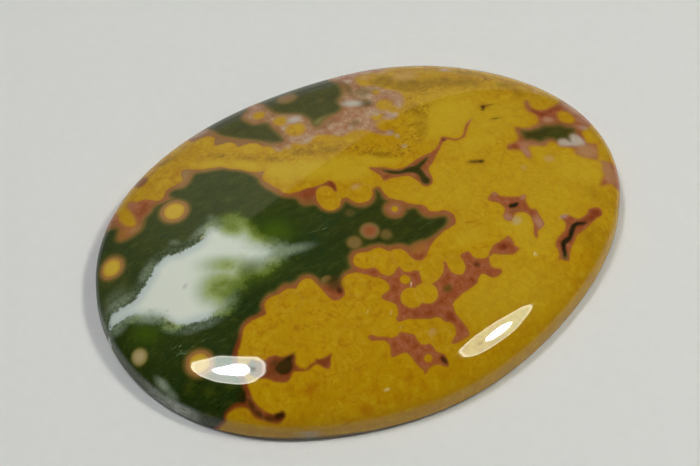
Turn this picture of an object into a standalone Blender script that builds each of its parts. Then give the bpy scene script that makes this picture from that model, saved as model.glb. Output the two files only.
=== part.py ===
# Ocean jasper cabochon: one solid piece of polished stone.
# Metres, +Z up. The flat back lies on Z = 0 and the outline's box is centred on the origin, with the
# long way along X. The outline is an oval with the small swellings of a stone ground by hand.

from math import cos, hypot, pi, sin

import bmesh
import bpy

MM = 0.001

# Driving dimensions of the outline
HALF_LENGTH = 28.1 * MM
HALF_WIDTH = 20.8 * MM

# How far the hand-cut edge leaves the true oval, as waves round the stone:
# number of waves, cosine part, sine part
SWELLINGS = (
    (3, 0.32 * MM, 0.17 * MM),
    (4, -0.05 * MM, -0.04 * MM),
    (5, 0.13 * MM, -0.08 * MM),
    (6, -0.03 * MM, -0.04 * MM),
    (7, 0.05 * MM, 0.0 * MM),
)

# Driving dimensions of the section
TOTAL_HEIGHT = 6.2 * MM
GIRDLE_HEIGHT = 2.0 * MM
WALL_DRAFT = 0.12 * MM
BACK_BEVEL = 0.4 * MM
DOME_FULLNESS = 2.0

# How finely the solid is faceted
SIDES = 96
DOME_RINGS = 13
BEVEL_STEPS = 2

STONE_COLOUR = (0.44, 0.27, 0.02, 1.0)
STONE_ROUGHNESS = 0.07


def clear_scene():
    for thing in list(bpy.data.objects):
        bpy.data.objects.remove(thing, do_unlink=True)


def outline_radius(angle):
    oval = 1.0 / hypot(cos(angle) / HALF_LENGTH, sin(angle) / HALF_WIDTH)
    waves = sum(c * cos(n * angle) + s * sin(n * angle) for n, c, s in SWELLINGS)
    return oval + waves


def wall_profile():
    """The back bevel and the side wall: pairs of inset from the outline and height."""
    profile = []
    for step in range(BEVEL_STEPS + 1):
        turn = 0.5 * pi * step / BEVEL_STEPS
        profile.append((BACK_BEVEL * (1.0 - sin(turn)), BACK_BEVEL * (1.0 - cos(turn))))
    profile.append((WALL_DRAFT, GIRDLE_HEIGHT))
    return profile


def dome_height(reach):
    """Height of the dome at a share of the way from the top, 0, to the girdle, 1."""
    rise = TOTAL_HEIGHT - GIRDLE_HEIGHT
    return GIRDLE_HEIGHT + rise * (1.0 - reach ** DOME_FULLNESS) ** (1.0 / DOME_FULLNESS)


def stone_rings():
    """Rings of points from the flat back up to the last ring below the top."""
    angles = [2.0 * pi * side / SIDES for side in range(SIDES)]
    rings = []
    for inset, height in wall_profile():
        radii = [outline_radius(angle) - inset for angle in angles]
        rings.append([(r * cos(a), r * sin(a), height) for r, a in zip(radii, angles)])
    for ring in range(1, DOME_RINGS):
        reach = cos(0.5 * pi * ring / DOME_RINGS)
        radii = [(outline_radius(angle) - WALL_DRAFT) * reach for angle in angles]
        rings.append([(r * cos(a), r * sin(a), dome_height(reach)) for r, a in zip(radii, angles)])
    return rings


def box_centre(rings):
    """Middle of the outline's box, which becomes the origin."""
    xs = [point[0] for ring in rings for point in ring]
    ys = [point[1] for ring in rings for point in ring]
    return 0.5 * (min(xs) + max(xs)), 0.5 * (min(ys) + max(ys))


def stone_mesh():
    rings = stone_rings()
    middle_x, middle_y = box_centre(rings)
    bm = bmesh.new()
    loops = [[bm.verts.new((x - middle_x, y - middle_y, z)) for x, y, z in ring] for ring in rings]
    top = bm.verts.new((-middle_x, -middle_y, TOTAL_HEIGHT))
    bm.faces.new(reversed(loops[0]))
    for lower, upper in zip(loops, loops[1:]):
        for side in range(SIDES):
            beside = (side + 1) % SIDES
            bm.faces.new((lower[side], lower[beside], upper[beside], upper[side]))
    for side in range(SIDES):
        bm.faces.new((loops[-1][side], loops[-1][(side + 1) % SIDES], top))
    mesh = bpy.data.meshes.new("cabochon")
    bm.to_mesh(mesh)
    bm.free()
    return mesh


def stone_material():
    material = bpy.data.materials.new("ocean_jasper")
    material.use_nodes = True
    shader = material.node_tree.nodes["Principled BSDF"]
    shader.inputs["Base Color"].default_value = STONE_COLOUR
    shader.inputs["Roughness"].default_value = STONE_ROUGHNESS
    shader.inputs["Metallic"].default_value = 0.0
    material.diffuse_color = STONE_COLOUR
    return material


def build_cabochon():
    mesh = stone_mesh()
    mesh.materials.append(stone_material())
    cabochon = bpy.data.objects.new("cabochon", mesh)
    bpy.context.collection.objects.link(cabochon)
    mesh.shade_smooth()
    mesh.set_sharp_from_angle(angle=0.6)
    return cabochon


clear_scene()
build_cabochon()
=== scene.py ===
# The looks of the ocean jasper cabochon: the polished stone, its table, its lamps and the camera.
# Lengths are in millimetres until a mesh, light or camera is made, and every place is in the CAD frame.

from math import cos, hypot, pi, radians, sin

import bpy
import numpy as np
from mathutils import Matrix, Vector
from mathutils.geometry import delaunay_2d_cdt


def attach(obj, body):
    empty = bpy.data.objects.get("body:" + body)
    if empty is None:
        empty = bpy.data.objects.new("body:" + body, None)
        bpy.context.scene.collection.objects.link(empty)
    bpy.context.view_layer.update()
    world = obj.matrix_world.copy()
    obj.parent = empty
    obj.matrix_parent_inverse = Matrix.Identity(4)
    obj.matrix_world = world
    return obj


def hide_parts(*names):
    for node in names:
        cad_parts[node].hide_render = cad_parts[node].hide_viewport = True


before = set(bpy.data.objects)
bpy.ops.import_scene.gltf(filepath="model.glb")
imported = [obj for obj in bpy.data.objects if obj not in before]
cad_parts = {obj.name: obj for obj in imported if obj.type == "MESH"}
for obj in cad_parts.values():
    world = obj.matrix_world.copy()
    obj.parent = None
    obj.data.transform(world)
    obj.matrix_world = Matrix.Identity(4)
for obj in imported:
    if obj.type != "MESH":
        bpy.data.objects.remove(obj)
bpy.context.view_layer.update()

MM = 0.001

# The stone's outline and section, as in the CAD. A swelling has its number of waves round the oval, and how
# far its cosine and its sine reach.
HALF_LENGTH = 28.1
HALF_WIDTH = 20.8
SWELLINGS = ((3, 0.32, 0.17), (4, -0.05, -0.04), (5, 0.13, -0.08), (6, -0.03, -0.04), (7, 0.05, 0.0))
TOTAL_HEIGHT = 6.2
GIRDLE_HEIGHT = 2.0
WALL_DRAFT = 0.12
BACK_BEVEL = 0.4
DOME_RISE = TOTAL_HEIGHT - GIRDLE_HEIGHT

# How finely the visible skin is cut
GRID_LONG = 304
GRID_WIDE = 224
WALL_ROWS = 11
BEVEL_ROWS = 4
BACK_STEP = 0.55
BACK_MARGIN = 0.3
OUTLINE_TURNS = 96
CURVE_STEPS = 2000

# The mean radius of the plan, and the way over the dome from its middle to the rim
MEAN_RADIUS = 24.0
DOME_RUN = 24.6

# How far the wall's normals lean up at the shoulder and at the bevel, so that the one eases into the other
SHOULDER_LIFT = 0.52
BEVEL_LIFT = 0.03

# Where the skin and the back lie on the bake's square: half sizes, then middles
SKIN_HALF = (0.495, 0.37)
SKIN_MIDDLE = (0.5, 0.625)
BACK_HALF = 0.165
BACK_MIDDLE = (0.17, 0.125)
BACK_REACH = 28.2

# The camera
VIEW_AZIMUTH = -29.2
VIEW_ELEVATION = 53.0
VIEW_TARGET = (-0.60, 2.33, 0.0)
VIEW_DISTANCE = 199.2
VIEW_LENS = 100.0
VIEW_SENSOR = 36.0

# The stone's own gloss
STONE_IOR = 1.54
DOME_ROUGHNESS = 0.035
WALL_ROUGHNESS = 0.23

# How bright the light on the stone is, and the soft reflection that lies over its colours
LIGHT_LEVEL = 0.77
VEIL = 0.0020

# The table
TABLE_HALF = 3000
TABLE_DROP = 0.02

# How far the lamps stand, how strong they are at level 1, and how round the corners of their panels are
LAMP_DISTANCE = 350
LAMP_ENERGY = 4.0
PANEL_ROUNDING = 0.12

# The card behind the stone: its ends, in radians from straight ahead, its top, as the height of a unit
# direction, and how fast the top falls past the ends
CARD_LEFT = -0.785
CARD_RIGHT = -0.349
CARD_TOP = 0.783
CARD_FALL = -1.45

# What the matt light of the room comes to
ROOM_LIGHT = 0.17

# Markings, read off the photo on a plan of the stone: X along the oval, Y across it.
# An edge parts the yellow from the pink, and a core parts the pink from the green. An outline is a row of
# places, X and Y in turn.

FIELD_EDGE = (
    -32, 15, -23, 15.5, -21.6, 15, -21.1, 14.3, -21.2, 13.5, -21.35, 12.8, -21.35, 12, -21.2, 11.4,
    -20.95, 10.95, -20.6, 10.85, -20.35, 11.1, -20.2, 11.7, -20.1, 12.4, -20.1, 13.1, -20.1, 13.8,
    -19.9, 14.3, -19.6, 14.5, -19.3, 14.2, -19, 13.8, -18.6, 13.6, -18.2, 13.45, -17.9, 13.1, -17.6, 12.65,
    -17.3, 12.3, -16.9, 12.2, -16.6, 12.35, -16.3, 12.75, -16, 13, -15.6, 13.1, -15.1, 13.05, -14.6, 13,
    -14.1, 13.1, -13.9, 13.5, -13.75, 14.1, -13.4, 14.55, -13, 14.4, -12.6, 14, -12.1, 13.6, -11.6, 13.2,
    -11.1, 12.95, -10.6, 12.7, -10.1, 12.45, -9.7, 12, -9.3, 11.5, -8.6, 10.9, -8.2, 10.3, -7.7, 9.8,
    -7.1, 9.4, -6.6, 9.3, -7, 8.9, -7.35, 8.4, -7.25, 7.8, -7, 7.3, -6.9, 6.8, -6.6, 6.2, -6.5, 5.7,
    -6.1, 5.2, -5.5, 5, -4.9, 4.9, -4.2, 4.85, -3.6, 4.65, -3, 4.55, -2.5, 4.5, -2.1, 4.6, -1.75, 4.55,
    -1.5, 4.1, -1.6, 3.5, -1.8, 3, -2.05, 2.95, -2.1, 3.5, -2.3, 4, -2.7, 4.25, -3.2, 4.25, -3.6, 4,
    -3.9, 3.5, -4.1, 2.9, -4.15, 2.2, -4, 1.6, -3.6, 1.15, -3.05, 1.03, -2.5, 1.2, -2.15, 1.7, -1.85, 1.85,
    -1.5, 1.8, -1.3, 1.6, -1.1, 1, -.7, .5, -.1, .3, .5, .4, 1, .8, 1.25, 1.3, 1.6, 1.45, 2.1, 1.4, 2.2, .9,
    2.1, .3, 2.3, -.4, 2.7, -.9, 3.3, -1.4, 3.6, -1.9, 4.1, -2.3, 4.6, -2.6, 4.9, -3.1, 5, -3.7, 5.6, -4.1,
    6.2, -4.2, 6.7, -4.6, 6.9, -5.2, 6.7, -5.8, 6.4, -6.2, 5.6, -6.35, 4.8, -6.5, 4, -6.75, 3.4, -7,
    2.9, -7.3, 2.4, -7.7, 1.9, -8.1, 1.2, -8.3, .7, -8, .45, -7.4, .4, -6.8, .1, -6.3, -.4, -6, -1, -6,
    -1.3, -5.6, -1.7, -5.1, -2.3, -5, -2.9, -5, -3.3, -4.85, -3.9, -4.7, -4.4, -4.9, -4.75, -5.4, -4.6, -6,
    -4.2, -6.5, -3.6, -6.7, -3.15, -6.9, -3.05, -7.5, -3.3, -7.9, -3.7, -7.9, -4.2, -7.3, -4.6, -6.9,
    -5.1, -6.5, -5.8, -6.3, -6.4, -6.4, -6.9, -6.7, -7, -7.2, -7, -7.7, -7.3, -8.1, -7.9, -8.3, -8.4, -8.2,
    -8.7, -7.7, -8.85, -7, -8.9, -6.3, -9.05, -5.6, -9.2, -5, -9.6, -4.65, -10.1, -4.65, -10.6, -4.85,
    -10.9, -5.1, -11.2, -5, -11.6, -4.75, -12.1, -4.7, -12.7, -4.8, -13.3, -4.7, -13.9, -4.7, -14.4, -5.05,
    -14.6, -5.6, -14.85, -6.05, -15.4, -6, -16.2, -5.95, -17, -6.1, -17.5, -6.5, -17.95, -7.1, -18.5, -7.7,
    -19, -8.2, -19.4, -8.9, -19.6, -9.7, -19.5, -10.5, -19.6, -11.2, -19.7, -12, -19.8, -12.7, -19.7, -13.3,
    -19.5, -13.8, -19.2, -14.3, -18.85, -14.65, -18.4, -14.9, -18, -14.9, -17.75, -15.15, -17.9, -15.5,
    -18.5, -15.6, -19, -15.4, -19.5, -15, -19.9, -14.6, -20.3, -14.2, -20.5, -13.8, -20.6, -13.3,
    -20.8, -12.95, -21.2, -12.65, -21.7, -12.45, -22.2, -12.4, -22.6, -12.5, -22.85, -13, -22.95, -13.8,
    -23.4, -15, -26, -18, -32, -18,
)
FIELD_CORE = (
    -32, 12.8, -23.6, 12.7, -22.9, 12.6, -22.3, 12.2, -22.1, 11.7, -22.5, 11.2, -22.8, 10.7, -22.7, 10.1,
    -22.2, 9.75, -21.5, 9.65, -20.8, 9.7, -20.2, 9.9, -19.8, 10.3, -19.4, 10.8, -19, 11.1, -18.5, 11.2,
    -18.1, 11.5, -17.7, 11.7, -17.2, 11.6, -15.9, 11.5, -16.1, 12.1, -15.7, 12.4, -15.2, 12.4, -14.7, 12.15,
    -14.2, 12.05, -13.6, 12.35, -13.1, 12.75, -12.6, 13.1, -12.1, 12.9, -11.5, 12.55, -11, 12.35,
    -10.5, 12.15, -10, 11.85, -9.5, 11.35, -9, 10.85, -8.4, 10.15, -8, 9.3, -7.8, 8.7, -7.9, 8.1, -7.8, 7.5,
    -7.7, 6.9, -7.4, 6.3, -7.1, 5.6, -6.8, 5, -6.2, 4.5, -5.8, 4.1, -5.8, 3.5, -5.6, 3, -5.1, 2.7, -4.7, 2.6,
    -4.5, 2.2, -4.4, 1.7, -4, 1.1, -3.4, .75, -2.8, .75, -2.2, 1, -1.85, 1.3, -1.65, 1.1, -1.4, .5, -1, 0,
    -.4, -.25, .2, -.25, .8, 0, 1.2, .4, 1.45, .9, 1.7, 1.05, 1.75, .6, 1.65, 0, 1.8, -.5, 2.1, -.9,
    3.1, -2.5, 3.6, -2.6, 3.9, -2.9, 3.9, -3.5, 4.1, -4.1, 4.6, -4.5, 5.2, -4.7, 5.8, -4.9, 6, -5.2,
    5.8, -5.6, 5.3, -5.9, 4.6, -6.1, 4, -6.25, 3.4, -6.35, 2.8, -6.4, 2.3, -6.25, 1.7, -6.2, 1.1, -6.3,
    .8, -6, .3, -5.6, -.3, -5.4, -.8, -5.25, -1.1, -4.9, -1.6, -4.6, -2.3, -4.4, -2.9, -4.35, -3.3, -4.1,
    -3.8, -4, -4.4, -4.2, -4.9, -4.6, -5.2, -5.2, -5.3, -5.7, -5.9, -5.8, -6.5, -6, -7, -6.3, -7.6, -6.3,
    -8, -6, -8.4, -5.7, -8.6, -5.1, -8.9, -4.5, -9.4, -4.15, -10, -4.1, -10.6, -4.3, -11.1, -4.3, -11.7, -4,
    -12.3, -4.1, -12.9, -4.3, -13.6, -4.2, -14.2, -4.4, -14.8, -4.9, -15, -5.4, -15.6, -5.55, -16.4, -5.5,
    -17.2, -5.7, -17.7, -6.1, -18.2, -6.8, -18.8, -7.3, -19.4, -7.9, -19.9, -8.7, -20.1, -9.6, -20.1, -10.6,
    -20.15, -11.4, -20.3, -12.1, -20.6, -12.45, -21, -12.25, -21.6, -12.1, -22.3, -12.1, -22.9, -12.4,
    -23.2, -13, -23.4, -14.2, -26.5, -18, -32, -18,
)
TOP_EDGE = (
    -10.8, 23, -10.6, 19, -10.5, 18.2, -10, 18, -9.3, 17.9, -8.7, 17.5, -8.5, 16.8, -8.9, 16.1, -9, 15.7,
    -8.6, 15.5, -8, 15.3, -7.5, 15, -7.25, 14.5, -7.2, 14, -6.7, 13.85, -6.1, 13.7, -5.6, 13.4, -5.3, 12.9,
    -5.1, 12.4, -4.6, 12.1, -4.4, 11.6, -4.3, 11, -3.8, 10.8, -3.2, 11, -2.6, 11.1, -2, 10.8, -1.5, 10.4,
    -1, 10.3, -.4, 10.6, .2, 10.75, .8, 10.5, 1.4, 10.1, 1.9, 9.6, 2.4, 9.25, 3, 9.3, 3.7, 9.3, 4.3, 9.1,
    4.8, 8.8, 5.2, 8.3, 5.5, 7.9, 5.9, 7.5, 6.3, 7.1, 6.8, 6.85, 7.25, 7, 7.1, 7.4, 6.5, 7.6, 6.15, 8,
    6.1, 8.6, 6.3, 9.1, 6.8, 9.3, 7.4, 9.2, 7.8, 8.9, 8.4, 8.8, 8.9, 9.1, 8.9, 9.6, 9.2, 10, 9.8, 9.9,
    10.3, 10.3, 10.7, 11, 10.9, 12, 10.3, 12.9, 9.9, 13.3, 9.5, 14.1, 9, 14.7, 8.3, 15, 8, 15.8, 8.1, 16.6,
    8.6, 17.1, 9.4, 17.2, 10.4, 16.9, 11.2, 16.6, 12, 17, 13, 17.4, 14, 18.5, 14.5, 20, 12.5, 23,
)
TOP_CORE_LEFT = (
    -8.6, 23, -8.2, 19.5, -7.9, 18.3, -7.8, 17.3, -7.5, 16.5, -7, 15.8, -6.4, 15, -5.6, 14.2, -5, 13.5,
    -4.5, 12.9, -4, 12.4, -3.5, 12.1, -3, 12.1, -3, 12.7, -3, 13.5, -3.1, 14.5, -3.1, 15.3, -3.6, 15.7,
    -4.3, 16, -4.6, 16.6, -4.8, 17.4, -4.7, 18.1, -4.3, 18.7, -3.5, 19.4, -3, 23,
)
TOP_CORE_RIGHT = (
    -1.8, 23, -1.6, 18.8, -1.7, 17.3, -1.4, 16.4, -.8, 15.8, -.1, 15.3, .5, 14.7, .8, 14, .9, 13.2, .8, 12.5,
    .9, 12, 1.5, 12.3, 2.2, 12.6, 3, 12.8, 3.8, 12.8, 4.4, 13.2, 4.5, 14, 4.8, 14.6, 5.3, 14.9, 5.7, 15.3,
    6, 16, 6.2, 17, 6, 18, 5.6, 19.5, 5.2, 23,
)
BRANCH_EDGE = (
    2.4, 4.1, 3.2, 3.6, 4, 3.2, 4.6, 2.6, 5.3, 2.35, 6, 2.35, 7, 2.6, 8, 2.75, 9.2, 2.8, 10, 3.15,
    10.5, 3.55, 11.1, 4.1, 11.7, 3.75, 12.1, 3.35, 12.6, 3.15, 13.2, 3.35, 13.7, 3.9, 14.2, 4.45, 14.9, 4.85,
    15.4, 4.95, 15, 4.65, 14.4, 4.2, 13.9, 3.6, 13.3, 3.05, 12.6, 2.9, 12, 3.05, 11.6, 3.4, 11.1, 3.45,
    10.6, 3.15, 10.1, 2.75, 9.5, 2.3, 9, 1.9, 8.4, 1.4, 7.8, 1.1, 7.5, .6, 7.5, .1, 7.3, -.5, 7, -.85,
    6.5, -1, 6.1, -.85, 5.9, -.4, 5.8, .2, 5.6, .8, 5.2, 1.2, 4.5, 1.4, 3.7, 1.7, 2.9, 1.7, 2.9, 2.5,
)
BRANCH_CORE = (
    3.5, 3, 4.2, 2.5, 5, 2.05, 6, 2.05, 6.8, 1.9, 7.6, 2.15, 8.4, 2.35, 7.6, 1.8, 7, 1.55, 6.9, .8, 6.9, .2,
    7, -.3, 6.6, -.65, 6.2, -.3, 6.35, .3, 6.3, 1, 5.7, 1.55, 4.9, 1.75, 4.1, 2.2,
)
EYE_EDGE = (
    16.3, -.2, 16.6, .15, 17.2, .2, 17.8, .25, 18.2, .6, 18.4, 1.1, 18.5, 1.6, 18.75, 2, 19.1, 1.85,
    19.4, 1.65, 19.9, 1.45, 20.5, 1.4, 21.1, 1.5, 21.5, 1.85, 21.75, 2.3, 21.75, 2.8, 21.5, 3.3, 21.35, 3.8,
    21.5, 4.4, 21.8, 4.9, 22.1, 5.15, 22.35, 5, 22.2, 4.4, 22.15, 3.8, 22.4, 3.4, 22.9, 3.2, 23.5, 3.15,
    24.1, 3.3, 24.6, 3.45, 25.1, 3.6, 25.6, 3.9, 26.2, 4.4, 27, 4.9, 27.7, 4.6, 28, 3.6, 27.6, 2.6,
    27.9, 1.4, 27.4, .2, 26.7, -.4, 26.1, -.65, 25.4, -.9, 25, -1.3, 24.9, -1.9, 24.8, -2.4, 25.2, -2.7,
    25.7, -2.9, 25.5, -3.4, 25.2, -3.9, 24.9, -4.5, 24.5, -4.85, 23.8, -4.5, 23.1, -4.1, 22.7, -3.6,
    22.8, -3.1, 22.6, -2.6, 22.1, -2.35, 21.65, -1.95, 21.5, -1.5, 21.2, -1.25, 20.8, -1.25, 20.3, -1.5,
    19.8, -1.4, 19.3, -1.15, 18.8, -.95, 18.4, -1.1, 18.3, -1.6, 18.1, -2.1, 17.75, -2.35, 17.5, -2,
    17.5, -1.3, 17.3, -.95, 16.9, -.75, 16.4, -.5,
)
EYE_CORE = (
    18.9, .25, 19, .8, 19.1, 1.25, 19.4, 1, 19.9, .85, 20.6, .8, 21.3, .85, 21.7, .9, 22.1, .75, 22.8, .6,
    23.4, .5, 23.7, .1, 24.1, -.15, 24.5, -.4, 24.2, -.8, 23.6, -1, 23.3, -1.35, 23.15, -1.8, 22.9, -1.4,
    22.4, -1.2, 21.9, -1.2, 21.6, -.8, 21, -.6, 20.4, -.7, 19.9, -.6, 19.6, -.2, 19.2, 0,
)
EYE_WHITE = (
    21.8, -1.5, 22.1, -1.3, 22.7, -1.35, 23.1, -1.85, 23.5, -1.2, 24, -1.05, 24.5, -1.5, 24.6, -2.1,
    24.4, -2.65, 23.6, -2.65, 22.8, -2.45, 22.1, -2.2, 21.7, -1.9,
)
RIM_EDGE = (
    24.8, -5, 24.6, -5.6, 24.3, -6.1, 24.1, -6.7, 23.6, -7.1, 23.2, -7.4, 22.8, -7.8, 23.4, -7.9, 24.2, -7.9,
    24.6, -8.4, 25.6, -8.7, 26.6, -7.8, 26.9, -6.4, 26.2, -5.6, 25.5, -5.2,
)
STAR_EDGE = (
    10.9, -5.1, 11.3, -4.75, 11.9, -4.45, 12.2, -4.7, 12.3, -5.2, 12.8, -5.5, 13.4, -5.8, 14, -6.05,
    14.6, -6, 14.7, -6.3, 14.4, -6.8, 14.3, -7.3, 14.35, -7.8, 14.8, -8, 14.75, -8.6, 14.7, -9.3, 14.6, -9.9,
    14.1, -10.15, 13.6, -10.3, 13.3, -10.7, 13, -11, 12.95, -10.5, 13.2, -10, 13.5, -9.6, 13.7, -9,
    13.75, -8.4, 13.5, -8, 13, -7.7, 12.4, -7.75, 12, -8.1, 11.7, -8.3, 11.3, -8.1, 11.15, -7.7, 11.4, -7.2,
    11.8, -6.9, 11.9, -6.4, 11.6, -5.8, 11.2, -5.5,
)
STAR_CORE = (
    12.45, -6.65, 12.75, -6.55, 13.1, -6.65, 13.45, -6.6, 13.4, -6.8, 13, -6.95, 12.6, -6.85,
)
CRACK_EDGE = (
    16.6, -9.75, 17.1, -9.65, 17.6, -9.9, 17.95, -10.3, 18.4, -10.55, 19, -10.45, 19.5, -10.3, 19.9, -9.9,
    20.4, -9.85, 21, -9.95, 21.3, -10.3, 21.1, -10.8, 20.5, -11, 19.9, -11.15, 19.3, -11.4, 18.5, -11.7,
    17.7, -11.95, 17.1, -12.1, 16.6, -12.5, 16, -12.9, 15.5, -13.3, 15.1, -13.8, 14.8, -14.2, 14.4, -14.1,
    14, -13.8, 13.6, -13.75, 14.1, -13.35, 14.3, -12.8, 14.4, -12.2, 14.8, -11.8, 15.4, -11.5, 16, -11.3,
    16.5, -10.9, 16.7, -10.4,
)
CRACK_CORE = (
    14.45, -13.75, 14.7, -13.2, 14.9, -12.7, 15.1, -12.3, 15.6, -12.05, 16.1, -11.95, 16.5, -11.6,
    16.9, -11.25, 17.3, -10.95, 17.8, -10.85, 18.3, -10.98, 18.8, -11.15, 18.3, -11.2, 17.9, -11.1,
    17.5, -11.2, 17.1, -11.5, 16.7, -11.85, 16.3, -12.2, 15.8, -12.4, 15.4, -12.5, 15.15, -12.8,
    14.95, -13.3, 14.7, -13.75,
)
LEFT_EDGE = (
    -17.7, -9.8, -17.1, -10.1, -16.6, -10, -16, -10.2, -15.7, -10.6, -15.1, -10.8, -14.6, -10.9,
    -14.4, -11.2, -14.6, -11.6, -14.8, -12, -14.6, -12.5, -14.2, -12.75, -13.6, -12.65, -13.1, -12.6,
    -12.9, -12.4, -12.6, -12.6, -12, -12.7, -11.3, -12.7, -11.7, -13.2, -12, -13.7, -12.4, -13.85,
    -12.7, -13.5, -13, -13, -13.6, -12.95, -14.2, -13, -14.9, -12.7, -15.4, -12.5, -15.9, -12.9, -16.3, -13,
    -16.8, -12.8, -17.3, -12.4, -17.8, -11.8, -18.5, -11.3, -19, -10.6, -18.9, -9.8, -18.3, -9.4,
)
LEFT_CORE = (
    -16.6, -11.4, -16.1, -11.1, -15.6, -11.1, -15.2, -11, -14.9, -11.15, -15.1, -11.4, -15.2, -11.8,
    -15.6, -12.2, -16.3, -12.1,
)
LONG_EDGE = (
    -3.3, -8.1, -3.1, -7.3, -2.9, -7.9, -2.4, -8.3, -1.9, -8.3, -1.4, -8, -1.1, -7.9, -1, -8.1, -.9, -8.6,
    -.4, -8.9, 0, -8.9, .4, -9.2, .3, -9.7, .1, -10.2, .2, -10.5, .7, -10.9, 1.3, -10.9, 1.9, -10.7,
    2.4, -10.4, 2.8, -9.9, 3, -9.5, 3.1, -9.35, 3.3, -9.6, 3.2, -10, 3.2, -10.6, 3.5, -11.1, 4, -11.35,
    4.5, -11.1, 4.8, -10.6, 4.9, -10, 4.9, -9.5, 5.2, -9.4, 5.8, -9.4, 6, -9.6, 6, -10.1, 6.3, -10.5,
    6.9, -10.75, 7.4, -10.7, 8, -10.2, 8.6, -9.9, 9.3, -9.8, 10, -9.7, 10.5, -9.6, 10.6, -10.2, 10.5, -10.8,
    10.9, -11.3, 10.6, -11.4, 10, -11.6, 9.5, -11.5, 9, -11.3, 8.5, -11, 8, -10.8, 7.5, -10.9, 7.15, -11.4,
    7.2, -12, 7.6, -12.3, 7.9, -12.6, 7.5, -12.95, 6.7, -13, 6.3, -12.7, 6.1, -12.4, 5.8, -12.2, 5.5, -12.3,
    5.2, -12.5, 4.9, -12.8, 4.4, -12.95, 3.6, -13.1, 3, -13.2, 2.3, -13.4, 1.7, -13.6, 1.4, -14, 1.3, -14.6,
    1.4, -15.4, 1.5, -16.1, 1.5, -16.7, 1.3, -17.1, .4, -17.2, -.4, -17.2, -.7, -17, -.2, -16.7, .3, -16.3,
    .5, -15.7, .3, -15.2, -.1, -15, -.3, -14.5, -.7, -14.2, -1.3, -14.1, -1.9, -13.8, -2.5, -13.5, -3, -13.2,
    -3.6, -13.1, -4.1, -13, -4.2, -12.6, -3.8, -12.3, -3.6, -11.9, -3.5, -11.3, -3.8, -10.8, -4.2, -10.4,
    -4.3, -10, -4, -9.8, -3.3, -9.7, -3, -9.3, -3, -8.8, -3.2, -8.4, -3.6, -8,
)
LOWER_EDGE = (
    -7.5, -12.85, -7, -13, -6.6, -13.4, -6, -13.7, -5.6, -14.05, -5, -14.1, -4.5, -13.95, -4.1, -14.2,
    -3.6, -14.6, -3.4, -14.9, -3.45, -15.5, -3.2, -16, -2.6, -16.15, -2.4, -16.5, -2.4, -17, -2.1, -17.4,
    -1.8, -17.7, -1.8, -18.3, -2, -18.75, -2.4, -18.6, -2.7, -18.3, -3.3, -18.1, -3.9, -18.2, -4.4, -18.4,
    -4.4, -18, -4.7, -17.4, -4.8, -16.6, -5, -16, -5.5, -15.8, -6.3, -15.8, -6.5, -15.5, -6.2, -15,
    -6.1, -14.5, -6.3, -14, -6.9, -13.7, -7.4, -13.4,
)
WHITE_EDGE = (
    -27.8, 2.1, -27.3, 2.75, -26.4, 2.9, -25.4, 2.7, -24.5, 2.8, -23.7, 3.2, -22.7, 3.85, -21.9, 4.3,
    -21.4, 4.85, -20.6, 5.15, -19.6, 5.2, -18.6, 4.9, -17.3, 4.8, -16.2, 4.9, -15.6, 5.3, -15, 5.8,
    -14.4, 5.95, -13.9, 5.5, -13.4, 5.2, -12.7, 5.2, -12.1, 4.7, -11.8, 3.8, -11.6, 3, -11.4, 2.1, -11, 1.3,
    -10.4, .4, -10.2, -.4, -11.1, -1, -12.7, -1.2, -13.9, -.9, -15, -1.25, -15.95, -1.95, -16.8, -2.8,
    -17.4, -3.3, -18.3, -3.4, -19.5, -3.4, -20.5, -3.15, -21.5, -2.9, -22.4, -2.45, -23.1, -1.6, -23.5, -.7,
    -24.2, 0, -25, .8, -25.7, 1.5, -26.6, 1.7, -27.6, 1.7,
)
EDGES = (
    FIELD_EDGE, TOP_EDGE, BRANCH_EDGE, EYE_EDGE, RIM_EDGE, STAR_EDGE, CRACK_EDGE, LEFT_EDGE, LONG_EDGE,
    LOWER_EDGE,
)
CORES = (
    FIELD_CORE, TOP_CORE_LEFT, TOP_CORE_RIGHT, BRANCH_CORE, EYE_CORE, STAR_CORE, CRACK_CORE, LEFT_CORE,
)

# Round orbs: x, y, radius of the yellow, radius of the pink ring round it
ORBS = (
    (-16.6, 9.87, 1.02, 1.62), (-24.7, 7.75, .95, 1.5), (-22.5, -6.95, .95, 1.5), (2, -1.85, .35, 1.2),
    (-3.1, 17.2, .7, 1.55), (-1.15, 12.8, 1.05, 1.5), (-1.8, 14.9, .75, 1.1), (6.9, 9.9, .6, 1.1),
    (8.5, 11.1, .9, 1.2), (8.9, 10.1, .6, .9), (8.8, 13.4, .4, .7), (24.8, 1.4, .95, 1.2),
    (26.2, -1.5, 1, 1.2), (-1.7, -11.4, 1.1, 1.2), (-.2, -11.6, 1.15, 1.25), (-1.3, -9.4, .5, .6),
    (-3.4, -17.3, .4, .6),
)

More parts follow.
